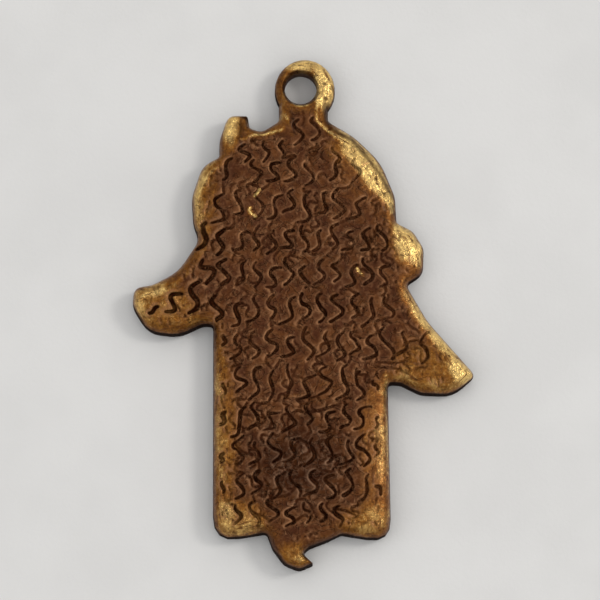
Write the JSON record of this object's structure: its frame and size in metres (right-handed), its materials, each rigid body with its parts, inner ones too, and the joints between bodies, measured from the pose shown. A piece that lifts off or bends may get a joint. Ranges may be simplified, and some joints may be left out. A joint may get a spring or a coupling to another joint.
{
  "type": "hamsa pendant",
  "caption": "Cast metal hamsa hand charm with two flared thumbs, wave-marked flat back and a bored loop for a jump ring.",
  "frame": {"origin": "middle of the box's lowest face, on the surface that the pendant lies on face down", "axes": "+X across the hand, +Y from the fingertips to the loop, +Z from the front to the marked back"},
  "size_m": [0.024, 0.0366, 0.0021],
  "materials": {
    "antiqued_brass": "antiqued: brown patina in the field and marks, rubbed to gold on the rims"
  },
  "bodies": {
    "root": {"hand_casting": "antiqued_brass"}
  },
  "joints": []
}
